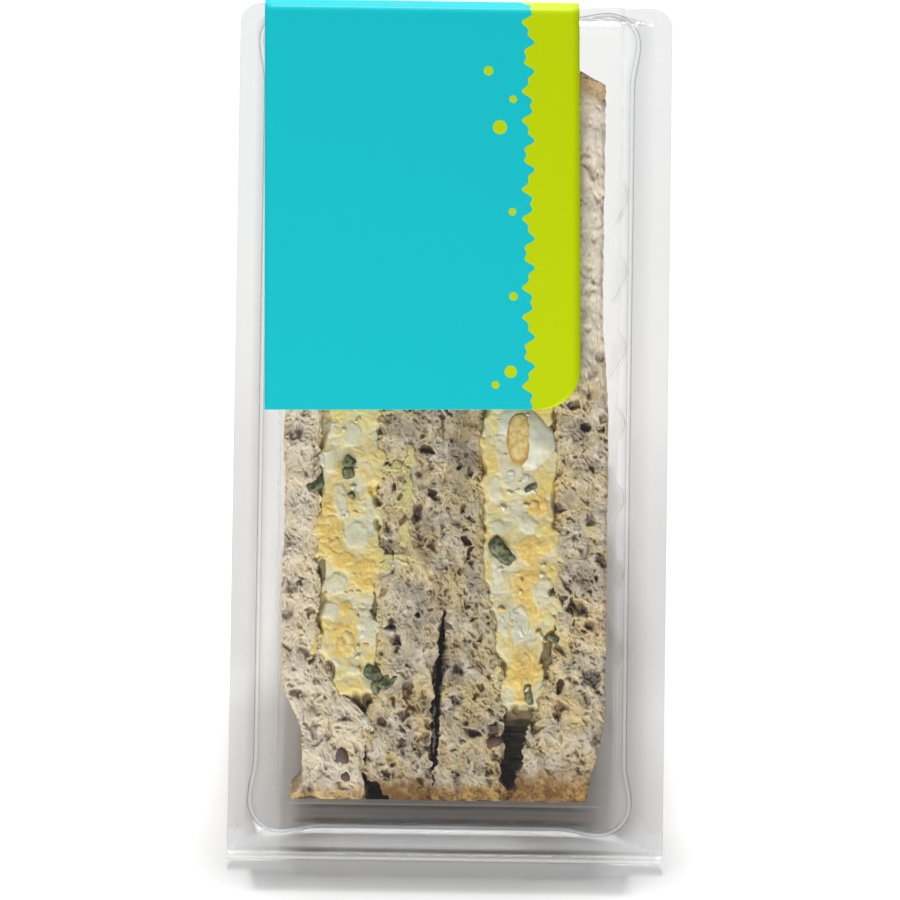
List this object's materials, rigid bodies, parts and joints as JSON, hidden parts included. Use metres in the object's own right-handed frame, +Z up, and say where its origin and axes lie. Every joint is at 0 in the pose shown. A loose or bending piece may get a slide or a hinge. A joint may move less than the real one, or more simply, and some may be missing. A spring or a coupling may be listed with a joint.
{
  "type": "packed egg salad sandwich",
  "caption": "Egg salad sandwich on grain bread, cut corner to corner, its halves side by side in a shut clear wedge pack with a bright label.",
  "frame": {"origin": "middle of the footprint, on the surface that the pack stands on", "axes": "+Z up, +Y from the sloping clear front towards the back, +X across the pack to the right as seen from the front"},
  "size_m": [0.092, 0.1396, 0.1213],
  "materials": {
    "clear_plastic": "clear, glossy, thin formed sheet",
    "label_paper": "smooth satin print, turquoise with a lime edge",
    "bread": "open, uneven crumb with dark seeds and a golden crust",
    "egg_salad": "moist, creamy, uneven",
    "egg_white": "moist, smooth, slightly translucent",
    "egg_yolk": "crumbly, matte",
    "chive": "moist green",
    "seed": "dull brown"
  },
  "bodies": {
    "root": {"tray": "clear_plastic", "lid": "clear_plastic", "label": "label_paper", "bread_1": "bread", "bread_2": "bread", "bread_3": "bread", "bread_4": "bread", "egg_filling_left": "egg_salad", "egg_filling_right": "egg_salad", "egg_white_piece": "egg_white", "egg_yolk_piece": "egg_yolk"}
  },
  "joints": []
}
